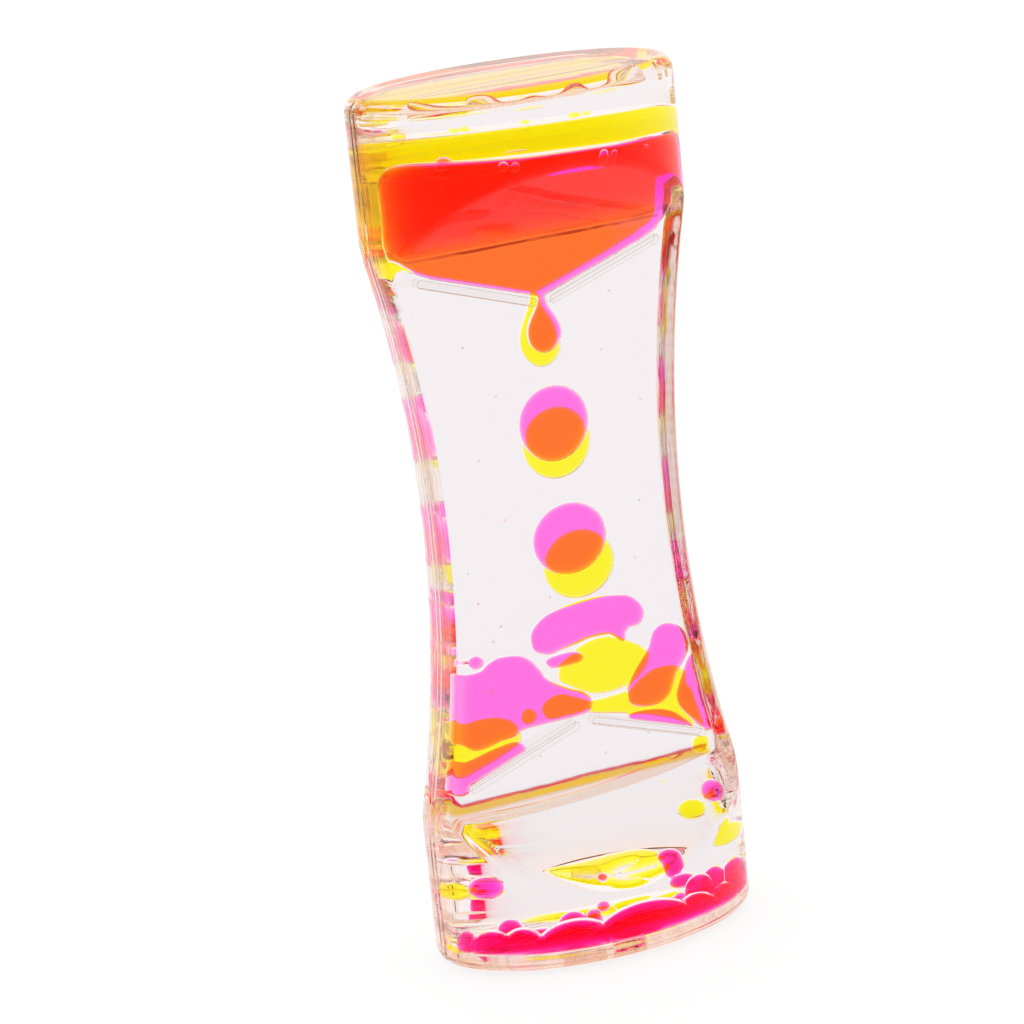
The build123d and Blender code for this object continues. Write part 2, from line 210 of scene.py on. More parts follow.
def both(t, how, a, b):
    m = t.nodes.new("ShaderNodeMath")
    m.operation = how
    t.links.new(a, m.inputs[0])
    t.links.new(b, m.inputs[1])
    return m.outputs["Value"]


def times(t, value, factor, plus=0.0):
    m = t.nodes.new("ShaderNodeMath")
    m.operation = "MULTIPLY_ADD"
    m.inputs[1].default_value = factor
    m.inputs[2].default_value = plus
    t.links.new(value, m.inputs[0])
    return m.outputs["Value"]


def blend(t, factor, a, b):
    mix = t.nodes.new("ShaderNodeMix")
    mix.data_type = "RGBA"
    t.links.new(factor, mix.inputs["Factor"])
    for socket, value in (("A", a), ("B", b)):
        if isinstance(value, tuple):
            mix.inputs[socket].default_value = (*value, 1)
        else:
            t.links.new(value, mix.inputs[socket])
    return mix.outputs["Result"]


def ramp(t, value, stops):
    r = t.nodes.new("ShaderNodeValToRGB")
    t.links.new(value, r.inputs["Fac"])
    e = r.color_ramp.elements
    while len(e) < len(stops):
        e.new(0.5)
    for k, (at, colour) in enumerate(stops):
        e[k].position = at
        e[k].color = (*colour, 1)
    return r.outputs["Color"]


def outer_plastic(name, tint, end, flat, line_colours_painted_light):
    """Polished outside of the case: clear windows, rims and flat ends painted salmon and amber as the oils' coloured
    light carried through the plastic, milky sides with fine lines coloured by painted light from the oils.
    """
    m, t, s, _ = principled(name)
    s.inputs["IOR"].default_value = N_CASE
    s.inputs["Specular Tint"].default_value = (SHEEN, SHEEN, SHEEN, 1)
    ends, flats, sides, waist = edge_mask(t)
    lines = noise(t, 1150.0, 2.5, 0.6, stretch=(0.02, 1.0, 0.004), shift=(0.1, 0.2, 0.0))
    # painted light: the rims and the flat end faces take salmon and amber colour that stands in for the oils' coloured
    # light carried through the plastic
    colour = blend(t, flats, blend(t, ends, tint, end), flat)
    # painted light: the fine side lines are real, but their salmon and tan colour stands in for the oils' light seen
    # through the side walls
    colour = blend(t, sides, colour, ramp(t, lines.outputs["Fac"], line_colours_painted_light))
    t.links.new(colour, s.inputs["Base Color"])
    t.links.new(times(t, waist, -0.22, 1.0), s.inputs["Transmission Weight"])
    t.links.new(both(t, "MULTIPLY", waist, spread(t, lines.outputs["Fac"], 0.0, 0.07)), s.inputs["Roughness"])
    wave = noise(t, 55.0, 1.5, 0.4, shift=(0.0, 0.3, 0.0))
    b = t.nodes.new("ShaderNodeBump")
    b.inputs["Strength"].default_value = 0.05
    b.inputs["Distance"].default_value = 0.0004
    t.links.new(wave.outputs["Fac"], b.inputs["Height"])
    b2 = t.nodes.new("ShaderNodeBump")
    b2.inputs["Distance"].default_value = 0.00015
    t.links.new(times(t, sides, 0.5), b2.inputs["Strength"])
    t.links.new(lines.outputs["Fac"], b2.inputs["Height"])
    t.links.new(b.outputs["Normal"], b2.inputs["Normal"])
    t.links.new(b2.outputs["Normal"], s.inputs["Normal"])
    return m


def bonded(name, line_colours_painted_light):
    """Cemented faces, where clear plastic meets clear plastic, with lines along the side wall whose salmon and tan
    colour is painted light from the oils.
    """
    m, t, s, out = principled(name)
    t.nodes.remove(s)
    c = t.nodes.new("ShaderNodeTexCoord")
    place = t.nodes.new("ShaderNodeSeparateXYZ")
    t.links.new(c.outputs["Object"], place.inputs["Vector"])
    width = t.nodes.new("ShaderNodeMath")
    width.operation = "ABSOLUTE"
    t.links.new(place.outputs["X"], width.inputs[0])
    rise = times(t, place.outputs["Z"], 1.0, -MID * MM)
    arc = both(t, "MULTIPLY", rise, times(t, rise, -0.5 / (SIDE_R * MM)))
    across = both(t, "ADD", width.outputs["Value"], arc)
    join = t.nodes.new("ShaderNodeCombineXYZ")
    t.links.new(across, join.inputs["X"])
    t.links.new(times(t, place.outputs["Z"], 0.004), join.inputs["Z"])
    t.links.new(times(t, place.outputs["Y"], 3.0), join.inputs["Y"])
    n = t.nodes.new("ShaderNodeTexNoise")
    n.inputs["Scale"].default_value = 1900.0
    n.inputs["Detail"].default_value = 2.0
    n.inputs["Roughness"].default_value = 0.55
    t.links.new(join.outputs["Vector"], n.inputs["Vector"])
    b = t.nodes.new("ShaderNodeBsdfTransparent")
    # painted light: the line pattern is real, but the ramp's salmon and tan tints stand in for the oils' coloured light
    # seen through the side wall
    t.links.new(ramp(t, n.outputs["Fac"], line_colours_painted_light), b.inputs["Color"])
    t.links.new(b.outputs["BSDF"], out.inputs["Surface"])
    return m


def wetted(name, ior, tint, facet_reflection_paint, facet_line_paint):
    """Inside of the case: faint waviness, and painted colour on the rear shoulders along the facet creases: an amber
    band and a red line at the lower crease are painted reflection of the yellow and pink oils, and a dark red band at
    the upper crease is painted shade.
    """
    m, t, s, _ = principled(name)
    s.inputs["Transmission Weight"].default_value = 1.0
    s.inputs["IOR"].default_value = ior
    s.inputs["Roughness"].default_value = 0.0
    n = noise(t, 55.0, 1.5, 0.4, shift=(0.2, 0.3, 0.2))
    bump(t, s, n.outputs["Fac"], 0.04, 0.0004)
    c = t.nodes.new("ShaderNodeTexCoord")
    place = t.nodes.new("ShaderNodeSeparateXYZ")
    t.links.new(c.outputs["Object"], place.inputs["Vector"])
    rear = spread(t, place.outputs["Y"], 0.0, 1.0, 0.0030, 0.0034)
    ragged = noise(t, 420.0, 2.0, 0.5, stretch=(0.35, 1.0, 1.0))
    z = both(t, "ADD", place.outputs["Z"], times(t, ragged.outputs["Fac"], 0.0009, -0.00045))
    low = both(t, "MULTIPLY", spread(t, z, 0.0, 1.0, 0.0214, 0.0228), spread(t, z, 1.0, 0.0, 0.0245, 0.0247))
    line = both(t, "MULTIPLY", spread(t, z, 0.0, 1.0, 0.0243, 0.02445), spread(t, z, 1.0, 0.0, 0.0247, 0.0250))
    even = both(t, "ADD", place.outputs["Z"], times(t, ragged.outputs["Fac"], 0.0004, -0.0002))
    high = both(t, "MULTIPLY", spread(t, z, 0.0, 1.0, 0.1100, 0.1104), spread(t, even, 1.0, 0.0, 0.1111, 0.1113))
    high = both(t, "MULTIPLY", high, spread(t, ragged.outputs["Fac"], 0.55, 1.0, 0.36, 0.50))
    above = both(t, "MULTIPLY", spread(t, even, 0.0, 1.0, 0.1112, 0.1116), spread(t, even, 1.0, 0.0, 0.1128, 0.1140))
    above = both(t, "MULTIPLY", above, spread(t, ragged.outputs["Fac"], 0.0, 0.7, 0.42, 0.60))
    above = both(t, "MULTIPLY", above, spread(t, place.outputs["X"], 0.0, 1.0, -0.002, 0.008))
    high = both(t, "MAXIMUM", high, above)
    # painted reflection: an amber band below the lower facet crease and a red line on it stand in for the yellow and
    # pink oils seen in the facet
    colour = blend(t, both(t, "MULTIPLY", low, rear), tint, facet_reflection_paint)
    colour = blend(t, both(t, "MULTIPLY", line, rear), colour, facet_line_paint)
    # painted shade: a dark red band along the upper facet crease
    colour = blend(t, both(t, "MULTIPLY", high, rear), colour, (0.10, 0.01, 0.012))
    t.links.new(colour, s.inputs["Base Color"])
    return m


def dyed(name, ior, colour, density, painted_glow, strength):
    """Dyed oil: clear surface, colour by depth, and a faint painted glow, emission that stands in for light though the
    oil is no lamp.
    """
    m, t, s, out = principled(name)
    s.inputs["Base Color"].default_value = (1, 1, 1, 1)
    s.inputs["Transmission Weight"].default_value = 1.0
    s.inputs["IOR"].default_value = ior
    s.inputs["Roughness"].default_value = 0.0
    # painted glow: constant emission tints the oil whatever light falls on it
    s.inputs["Emission Color"].default_value = (*painted_glow, 1)
    s.inputs["Emission Strength"].default_value = strength
    n = noise(t, 160.0, 2.0, 0.5)
    bump(t, s, n.outputs["Fac"], 0.02, 0.0003)
    v = t.nodes.new("ShaderNodeVolumeAbsorption")
    v.inputs["Color"].default_value = (*colour, 1)
    v.inputs["Density"].default_value = density
    t.links.new(v.outputs["Volume"], out.inputs["Volume"])
    return m


N_CASE, N_CARRIER, N_DYE = 1.49, 1.462, 1.345
PLASTIC_WATER = N_CASE / N_CARRIER
SHEEN = 0.12
TINT = (0.887, 0.845, 0.864)
WET_TINT = (0.995, 0.993, 0.993)
# painted light: salmon of the end rims, standing in for the oils' coloured light carried through the plastic
END_PAINTED_OIL_LIGHT = (0.985, 0.81, 0.725)
# painted light: salmon and tan colours of the side lines, standing in for the oils' light seen through the side walls
DRAW_LINES_PAINTED_OIL_LIGHT = ((0.30, (0.90, 0.66, 0.56)), (0.40, (0.99, 0.90, 0.87)), (0.48, (0.985, 0.78, 0.70)), (0.54, (1.0, 0.97, 0.95)), (0.62, (0.97, 0.80, 0.62)), (0.72, (0.80, 0.68, 0.66)))
# painted light: amber of the flat base and top faces, standing in for the oils' light carried through them
FLAT_PAINTED_OIL_LIGHT = (0.99, 0.69, 0.53)
M_OUTER = outer_plastic("clear_plastic", TINT, END_PAINTED_OIL_LIGHT, FLAT_PAINTED_OIL_LIGHT, DRAW_LINES_PAINTED_OIL_LIGHT)
# painted reflection: the amber and red colours passed here are the oils' reflection painted along the lower facet
# crease
M_WET = wetted("clear_plastic_wetted", PLASTIC_WATER, WET_TINT, (0.95, 0.58, 0.04), (0.60, 0.04, 0.05))
# painted light: salmon and tan tints of the cement lines, standing in for the oils' light seen through the side wall
CEMENT_LINES_PAINTED_OIL_LIGHT = ((0.28, (0.80, 0.70, 0.67)), (0.36, (0.97, 0.90, 0.86)), (0.44, (0.975, 0.865, 0.82)), (0.50, (0.995, 0.98, 0.97)), (0.56, (0.97, 0.87, 0.77)), (0.64, (0.99, 0.95, 0.94)), (0.72, (0.86, 0.74, 0.72)))
M_BOND = bonded("cement_line_painted_oil_light", CEMENT_LINES_PAINTED_OIL_LIGHT)
M_BAFFLE = clear("clear_baffle_plastic", 1.011, (0.975, 0.965, 0.96), wave=0.008, seed=0.5)
# painted shade: a brown tint on the rounded edges of the front baffle strips, where the edges look dark
M_BAFFLE_EDGE_SHADE = clear("baffle_edge_painted_shade", 1.03, (0.56, 0.40, 0.26), wave=0.008, seed=0.6)
M_PLUG = clear("clear_plug_plastic", 1.49, (0.94, 0.93, 0.93), wave=0.1, haze=0.12, seed=0.7)
# painted glow: the emission colours and strengths passed here light the oils, though they are no lamp
M_PINK = dyed("pink_oil", N_DYE / N_CARRIER, (0.996, 0.08, 0.915), 700.0, (1.0, 0.13, 0.0), 0.07)
# a darker, redder copy of the pink oil, with denser absorption, used only for the heap on the reservoir floor
M_PINK_DEEP = dyed("pink_oil_heap_copy", N_DYE / N_CARRIER, (0.997, 0.12, 0.745), 1300.0, (1.0, 0.0, 0.06), 0.07)
M_YELLOW = dyed("yellow_oil", N_DYE / N_CARRIER, (0.995, 0.984, 0.043), 1400.0, (1.0, 0.93, 0.0), 0.045)
M_BUBBLE = clear("bubble_skin", 1.0 / N_CARRIER, (0.97, 0.96, 0.96), wave=0.03, seed=0.9)


# ------------------------------------------------------------------ meshes
def add(name, verts, faces, mats, index=None, loop_normals=None, vert_normals=None):
    me = bpy.data.meshes.new(name)
    me.from_pydata([tuple(v) for v in np.asarray(verts) * MM], [], [tuple(int(i) for i in f) for f in faces])
    for m in mats:
        me.materials.append(m)
    if index is not None:
        me.polygons.foreach_set("material_index", np.asarray(index, dtype=np.int32))
    me.polygons.foreach_set("use_smooth", np.ones(len(me.polygons), dtype=bool))
    me.update()
    if loop_normals is not None:
        me.normals_split_custom_set([tuple(n) for n in loop_normals])
    elif vert_normals is not None:
        me.normals_split_custom_set_from_vertices([tuple(n) for n in vert_normals])
    o = bpy.data.objects.new(name, me)
    scene.collection.objects.link(o)
    return o


class Builder:
    """Faces with shared vertices, a material and a normal for every corner."""

    def __init__(self):
        self.v, self.f, self.m, self.n = [], [], [], []

    def points(self, pts):
        first = len(self.v)
        self.v.extend(map(tuple, pts))
        return list(range(first, first + len(pts)))

    def face(self, ids, mat, normals):
        self.f.append(tuple(ids))
        self.m.append(mat)
        self.n.extend(normals)

    def flat(self, loops, mat, normal):
        """Fills a planar outline, with holes, facing along normal."""
        pts = [[Vector(self.v[i]) for i in loop] for loop in loops]
        ids = [i for loop in loops for i in loop]
        n = Vector(normal)
        for tri in tessellate_polygon(pts):
            a, b, c = (Vector(self.v[ids[i]]) for i in tri)
            area = (b - a).cross(c - a)
            if area.length < 1e-9:
                continue
            t = tri if area.dot(n) > 0 else tri[::-1]
            self.face([ids[i] for i in t], mat, [normal] * 3)

    def mirrored(self):
        """The same piece behind the centre plane."""
        b = Builder()
        b.v = [(x, -y, z) for x, y, z in self.v]
        k = 0
        for f, m in zip(self.f, self.m):
            n = self.n[k:k + len(f)]
            k += len(f)
            b.face(f[::-1], m, [(a, -c, d) for a, c, d in n[::-1]])
        return b

    def object(self, name, mats):
        return add(name, self.v, self.f, mats, self.m, loop_normals=self.n)


def radial(z, theta, wall, radii, seam):
    """Distance from the chamber axis to the skin, along each direction."""
    zz, tt = np.meshgrid(z, theta, indexing="ij")
    cx, cy = np.cos(tt), -np.sin(tt)
    lo, hi = np.zeros_like(zz), np.full_like(zz, 34.0)
    for _ in range(44):
        mid = (lo + hi) / 2
        inside = case(mid * cx, -HALF_T + mid * cy, zz, wall, radii, seam) <= 1e-7
        lo, hi = np.where(inside, mid, lo), np.where(inside, hi, mid)
    r = (lo + hi) / 2
    return np.stack([r * cx, -HALF_T + r * cy, zz], axis=-1)


def rows(end, rim):
    """Heights of the rings of a skin, close together at rims and facets."""
    low = [end + rim * (1 - math.cos(math.pi / 2 * k / 8)) for k in range(9)]
    low += list(np.linspace(end + rim, 10.4, 6)[1:])
    low += list(np.arange(10.8, 26.6, 0.4))
    low += list(np.linspace(26.6, MID, 22))
    return np.array(low + [H - z for z in low[:-1][::-1]])


deg = [0, 0.12, 0.3, 0.55, 0.9, 1.4, 2.0, 2.8, 3.8, 5.0]
deg += list(np.arange(5.7, 26, 0.7)) + list(np.linspace(26.5, 90, 34))
deg = np.array(deg + [180 - d for d in deg[:-1][::-1]])
theta = np.radians(deg)


def circle(r, x, y, z, n=48):
    a = np.arange(n) / n * 2 * math.pi
    return np.stack([x + r * np.cos(a), y + r * np.sin(a), np.full(n, z)], axis=-1)


def shell_half():
    b = Builder()
    skins = []
    for wall, radii, seam, end, rim, mat, sign in (
        ((0.0, 0.0, 0.0), (1.0, 2.4), 0.16, 0.0, 2.4, 0, 1),
        (CAVITY, CAVITY_R, 0.0, WALL_END, 0.6, 1, -1),
    ):
        z = rows(end, rim)
        grid = radial(z, theta, wall, radii, seam)
        flat = grid.reshape(-1, 3)
        inner = flat.copy()
        inner[:, 1] -= 1e-3
        nrm = sign * unit(gradient(lambda x, y, q: case(x, y, q, wall, radii, seam), inner, 0.01))
        nrm = nrm.reshape(grid.shape)
        nrm[0] = (0, 0, -sign)
        nrm[-1] = (0, 0, sign)
        ids = np.array(b.points(flat)).reshape(grid.shape[:2])
        r, c = ids.shape
        for i in range(r - 1):
            for j in range(c - 1):
                q = [(i, j), (i + 1, j), (i + 1, j + 1), (i, j + 1)]
                if sign < 0:
                    q = q[::-1]
                b.face([ids[k] for k in q], mat, [tuple(nrm[k]) for k in q])
        skins.append((ids, mat, sign))
    (outer, _, _), (inner, _, _) = skins
    # base and floor, with the fill hole, then top and ceiling
    h0 = b.points(circle(PLUG_R, 0, -PLUG_Y, 0.0))
    h1 = b.points(circle(PLUG_R, 0, -PLUG_Y, WALL_END))
    b.flat([list(outer[0]), h0], 0, (0, 0, -1))
    b.flat([list(inner[0]), h1], 1, (0, 0, 1))
    b.flat([list(outer[-1])], 0, (0, 0, 1))
    b.flat([list(inner[-1])], 1, (0, 0, -1))
    n = len(h0)
    for k in range(n):
        a, c = k / n * 2 * math.pi, (k + 1) / n * 2 * math.pi
        na, nc = (-math.cos(a), -math.sin(a), 0), (-math.cos(c), -math.sin(c), 0)
        b.face([h0[k], h1[k], h1[(k + 1) % n], h0[(k + 1) % n]], 2, [na, na, nc, nc])
    # the face cemented to the divider
    up = (0, 1, 0)
    for col in (0, -1):
        o, i = outer[:, col], inner[:, col]
        for k in range(len(o) - 1):
            q = [o[k], i[k], i[k + 1], o[k + 1]]
            p = [Vector(b.v[v]) for v in q]
            if (p[1] - p[0]).cross(p[3] - p[0]).y < 0:
                q = q[::-1]
            b.face(q, 2, [up] * 4)
    for row in (0, -1):
        q = [outer[row, 0], inner[row, 0], inner[row, -1], outer[row, -1]]
        p = [Vector(b.v[v]) for v in q]
        if (p[1] - p[0]).cross(p[2] - p[0]).y < 0:
            q = q[::-1]
        b.face(q, 2, [up] * 4)
    grid = np.array(b.v)
    rim_out = [grid[v] for v in outer[:, 0]] + [grid[v] for v in outer[::-1, -1]]
    rim_in = [grid[v] for v in inner[:, 0]] + [grid[v] for v in inner[::-1, -1]]
    return b, np.array(rim_out), np.array(rim_in)


half, rim_out, rim_in = shell_half()
front_shell = half.object("front_shell_skin", [M_OUTER, M_WET, M_BOND])
rear_shell = half.mirrored().object("rear_shell_skin", [M_OUTER, M_WET, M_BOND])
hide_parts("front_shell", "front_carrier_liquid")
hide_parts("rear_shell", "rear_carrier_liquid")


def divider():
    """Centre plate: wetted in the middle, cemented round the edge, edge showing."""
    b = Builder()
    full = rim_out.copy()
    edge = np.abs(full[:, 0]) > 1
    levels = []
    for y, back in ((-HALF_T, 0.0), (-0.42, 0.75), (-0.2, 1.0), (0.2, 1.0), (0.42, 0.75), (HALF_T, 0.0)):
        ring = full.copy()
        ring[:, 1] = y
        ring[:, 0] += np.sign(full[:, 0]) * 0.15 * back * np.clip((np.minimum(full[:, 2], H - full[:, 2]) - 0.4) / 1.5, 0, 1)
        levels.append(b.points(ring))
    n = len(full)
    for lo, hi in zip(levels, levels[1:]):
        for k in range(n):
            q = [lo[k], lo[(k + 1) % n], hi[(k + 1) % n], hi[k]]
            p = [Vector(b.v[v]) for v in q]
            nn = (p[1] - p[0]).cross(p[3] - p[0])
            mid = (p[0] + p[1]) / 2 - Vector((0, 0, MID))
            if nn.length < 1e-9:
                continue
            if nn.x * mid.x + nn.z * mid.z < 0:
                q, nn = q[::-1], -nn
            nn.normalize()
            b.face(q, 0, [tuple(nn)] * 4)
    for y, outer in ((-HALF_T, levels[0]), (HALF_T, levels[-1])):
        ring = rim_in.copy()
        ring[:, 1] = y
        inner = b.points(ring)
        normal = (0, math.copysign(1, y), 0)
        m = n // 2
        for a, c in zip(range(n), [*range(1, n), 0]):
            q = [outer[a], inner[a], inner[c], outer[c]]
            p = [Vector(b.v[v]) for v in q]
            area = (p[1] - p[0]).cross(p[2] - p[0])
            if area.y * y < 0:
                q = q[::-1]
            b.face(q, 2, [normal] * 4)
        b.flat([inner], 1, normal)
    return b.object("divider_sheet", [M_OUTER, M_WET, M_BOND])


plate = divider()
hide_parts("divider_plate")


def plug(name, y):
    b = Builder()
    a0 = b.points(circle(PLUG_R - 0.25, 0, y, PLUG_RECESS))
    a1 = b.points(circle(PLUG_R - 0.01, 0, y, PLUG_RECESS + 0.25))
    a2 = b.points(circle(PLUG_R - 0.01, 0, y, WALL_END))
    n = len(a0)
    for lo, hi, mat, tilt in ((a0, a1, 0, -0.7), (a1, a2, 2, 0.0)):
        for k in range(n):
            a, c = k / n * 2 * math.pi, (k + 1) / n * 2 * math.pi
            s = math.sqrt(1 - tilt * tilt)
            na, nc = (s * math.cos(a), s * math.sin(a), tilt), (s * math.cos(c), s * math.sin(c), tilt)
            b.face([lo[k], lo[(k + 1) % n], hi[(k + 1) % n], hi[k]], mat, [na, nc, nc, na])
    b.flat([a0], 0, (0, 0, -1))
    b.flat([a2], 1, (0, 0, 1))
    return b.object(name, [M_PLUG, M_WET, M_BOND])


front_plug, rear_plug = plug("front_plug_disc", -PLUG_Y), plug("rear_plug_disc", PLUG_Y)
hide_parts("front_fill_plug")
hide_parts("rear_fill_plug")


# ------------------------------------------------------------------ baffles
def baffle_ends(side, upper):
    xi, xo = NOZZLE + BAFFLE_T / 2, BAFFLE_X - BAFFLE_T / 2
    zi, zo = (H - BAFFLE_IN, H - BAFFLE_OUT) if upper else (BAFFLE_IN, BAFFLE_OUT)
    return np.array([side * xi, zi]), np.array([side * xo, zo])


def strip(name, side, upper, y0, y1, shaded_edges, round_=0.08):
    a, c = baffle_ends(side, upper)
    d = (c - a) / np.linalg.norm(c - a)
    ang = math.atan2(d[1], d[0])
    turns = np.linspace(-math.pi / 2, math.pi / 2, 13)
    out = [(c, ang + t) for t in turns] + [(a, ang + math.pi + t) for t in turns]
    r = BAFFLE_T / 2
    prof = [(0.0, 1.0)]
    arc = np.linspace(0, math.pi / 2, 5)
    prof = [(r - round_ + round_ * math.sin(t), y0 + round_ * (1 - math.cos(t)), math.sin(t), -math.cos(t)) for t in arc]
    prof += [(r - round_ + round_ * math.cos(t), y1 - round_ * (1 - math.sin(t)), math.cos(t), math.sin(t)) for t in arc]
    b = Builder()
    rings, normals = [], []
    for rad, y, nr, ny in prof:
        rings.append(b.points([(p[0] + rad * math.cos(t), y, p[1] + rad * math.sin(t)) for p, t in out]))
        normals.append([(nr * math.cos(t), ny, nr * math.sin(t)) for p, t in out])
    n = len(out)
    for i in range(len(rings) - 1):
        for k in range(n):
            j = (k + 1) % n
            q = [(i, k), (i + 1, k), (i + 1, j), (i, j)]
            # painted shade: on the front strips only, the rounded edge faces take the brown edge tint
            b.face([rings[u][w] for u, w in q], int(shaded_edges and i != 4), [normals[u][w] for u, w in q])
    b.flat([rings[0]], 0, (0, -1, 0))
    b.flat([rings[-1]], 0, (0, 1, 0))
    return b.object(name, [M_BAFFLE, M_BAFFLE_EDGE_SHADE])


pieces = {}
for hand, ya, yb in (("front", -GAP_IN + 0.1, -HALF_T - 0.1), ("rear", HALF_T + 0.1, GAP_IN - 0.1)):
    for level, upper in (("upper", True), ("lower", False)):
        for word, side in (("left", -1), ("right", 1)):
            node = f"{hand}_{level}_{word}_baffle"
            o = strip(node + "_strip", side, upper, ya, yb, hand == "front")
            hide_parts(node)
            pieces[node] = o


def strip_field(x, z):
    """Distance to the nearest baffle strip in the plane of a chamber."""
    best = None
    for upper in (True, False):
        for side in (-1, 1):
            a, c = baffle_ends(side, upper)
            d = c - a
            t = np.clip(((x - a[0]) * d[0] + (z - a[1]) * d[1]) / (d @ d), 0, 1)
            q = np.hypot(x - a[0] - t * d[0], z - a[1] - t * d[1]) - BAFFLE_T / 2
            best = q if best is None else np.minimum(best, q)
    return best


# ------------------------------------------------------------------ liquids
def net(field, lo, hi, h, relax=3):
    """Smooth closed mesh of the zero surface of a field."""
    lo, hi = np.array(lo, float), np.array(hi, float)
    n = np.maximum(np.ceil((hi - lo) / h).astype(int) + 1, 4)
    ax = [lo[i] + h * np.arange(n[i]) for i in range(3)]
    grid = np.stack(np.meshgrid(*ax, indexing="ij"), axis=-1)
    val = field(grid[..., 0], grid[..., 1], grid[..., 2])
    acc = np.zeros((*(n - 1), 3))
    cnt = np.zeros(n - 1)
    crossings = []
    for a in range(3):
        s0, s1 = [slice(None)] * 3, [slice(None)] * 3
        s0[a], s1[a] = slice(0, -1), slice(1, None)
        v0, v1 = val[tuple(s0)], val[tuple(s1)]
        cross = (v0 < 0) != (v1 < 0)
        t = np.where(cross, v0 / np.where(cross, v0 - v1, 1.0), 0.0)
        p = grid[tuple(s0)].copy()
        p[..., a] += t * h
        o1, o2 = [i for i in range(3) if i != a]
        for d1 in (slice(0, -1), slice(1, None)):
            for d2 in (slice(0, -1), slice(1, None)):
                s = [slice(None)] * 3
                s[o1], s[o2] = d1, d2
                m = cross[tuple(s)]
                acc += np.where(m[..., None], p[tuple(s)], 0.0)
                cnt += m
        crossings.append((a, o1, o2, cross, v0 < 0))
    active = cnt > 0
    ids = np.full(cnt.shape, -1)
    ids[active] = np.arange(active.sum())
    verts = acc[active] / cnt[active][:, None]
    faces = []
    for a, o1, o2, cross, low in crossings:
        s = [slice(None)] * 3
        s[o1] = s[o2] = slice(1, -1)
        where = np.argwhere(cross[tuple(s)])
        sign = low[tuple(s)][tuple(where.T)]
        where[:, o1] += 1
        where[:, o2] += 1
        quad = []
        for e1, e2 in ((-1, -1), (0, -1), (0, 0), (-1, 0)):
            w = where.copy()
            w[:, o1] += e1
            w[:, o2] += e2
            quad.append(ids[tuple(w.T)])
        quad = np.stack(quad, axis=1)
        flip = sign if a == 1 else ~sign
        quad[flip] = quad[flip][:, ::-1]
        faces.append(quad)
    faces = np.concatenate(faces)

    def project(p, times):
        for _ in range(times):
            f = field(p[:, 0], p[:, 1], p[:, 2])
            g = gradient(field, p)
            step = f[:, None] * g / np.maximum((g * g).sum(1, keepdims=True), 0.05)
            p = p - np.clip(step, -h, h)
        return p

    verts = project(verts, 3)
    for _ in range(relax):
        tot, num = np.zeros_like(verts), np.zeros(len(verts))
        for k in range(4):
            np.add.at(tot, faces[:, k], verts[faces[:, (k + 1) % 4]] + verts[faces[:, (k - 1) % 4]])
            np.add.at(num, faces[:, k], 2)
        verts = project(0.5 * verts + 0.5 * tot / num[:, None], 2)
    return verts, faces, unit(gradient(field, verts))


def blob(name, field, lo, hi, h, mat, body="case", nodes=(), slot=None):
    v, f, n = net(field, lo, hi, h)
    o = add(name, v, f, [mat], vert_normals=n)
    if nodes:
        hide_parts(*nodes)
    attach(o, body)
    return o


def spline(points, n=6):
    """Closed smooth outline through the points."""
    p = np.array(points, float)
    a, b, c, d = np.roll(p, 1, 0), p, np.roll(p, -1, 0), np.roll(p, -2, 0)
    out = []
    for t in np.arange(n) / n:
        out.append(0.5 * (2 * b + (c - a) * t + (2 * a - 5 * b + 4 * c - d) * t**2 + (3 * b - a - 3 * c + d) * t**3))
    return np.stack(out, axis=1).reshape(-1, 2)


def outline(loop, x, z):
    """Signed distance to a closed outline in the plane of a chamber."""
    shape = np.shape(x)
    x, z = np.ravel(x), np.ravel(z)
    best = np.full(x.shape, 1e9)
    inside = np.zeros(x.shape, bool)
    for (ax, az), (bx, bz) in zip(loop, np.roll(loop, -1, 0)):
        dx, dz = bx - ax, bz - az
        t = np.clip(((x - ax) * dx + (z - az) * dz) / (dx * dx + dz * dz + 1e-12), 0, 1)
        best = np.minimum(best, (x - ax - t * dx) ** 2 + (z - az - t * dz) ** 2)
        if dz != 0:
            hit = ((az > z) != (bz > z)) & (x < dx * (z - az) / dz + ax)
            inside ^= hit
    d = np.sqrt(best)
    return np.where(inside, -d, d).reshape(shape)


def keep_in(f, x, y, z, sign, clear_of=0.12):
    """Clips a flattened drop to its chamber and off the baffle strips."""
    f = rmax(f, case(x, y, z, ROOM, CAVITY_R), 0.25)
    return rmax(f, clear_of - strip_field(x, z), 0.2)


def flat_field(loop, sign, grow=0.0, rim=None):
    """A drop squeezed between window and divider, with a round rim."""
    r = GAP_HALF * 0.96 if rim is None else rim
    yc = sign * GAP_MID

    def field(x, y, z):
        f = rmax(outline(loop, x, z) - grow, np.abs(y - yc) - GAP_HALF, r)
        return keep_in(f, x, y, z, sign)

    return field


def flat_blob(name, loop, sign, mat, body="case", nodes=(), slot=None, h=0.34, rim=None):
    lo = [loop[:, 0].min() - 0.8, sign * GAP_MID - GAP_HALF - 0.8, loop[:, 1].min() - 0.8]
    hi = [loop[:, 0].max() + 0.8, sign * GAP_MID + GAP_HALF + 0.8, loop[:, 1].max() + 0.8]
    return blob(name, flat_field(loop, sign, rim=rim), lo, hi, h, mat, body, nodes, slot)


def oval(x, z, hw, hh, tilt=0.0, n=96, egg=0.0):
    a = np.arange(n) / n * 2 * math.pi
    c, s = np.cos(a), np.sin(a)
    px, pz = hw * c * (1 + egg * s), hh * s
    t = math.radians(tilt)
    return np.stack([x + px * math.cos(t) - pz * math.sin(t), z + px * math.sin(t) + pz * math.cos(t)], axis=-1)


PINK, YELLOW = dict(mat=M_PINK, slot="pink_oil"), dict(mat=M_YELLOW, slot="yellow_oil")

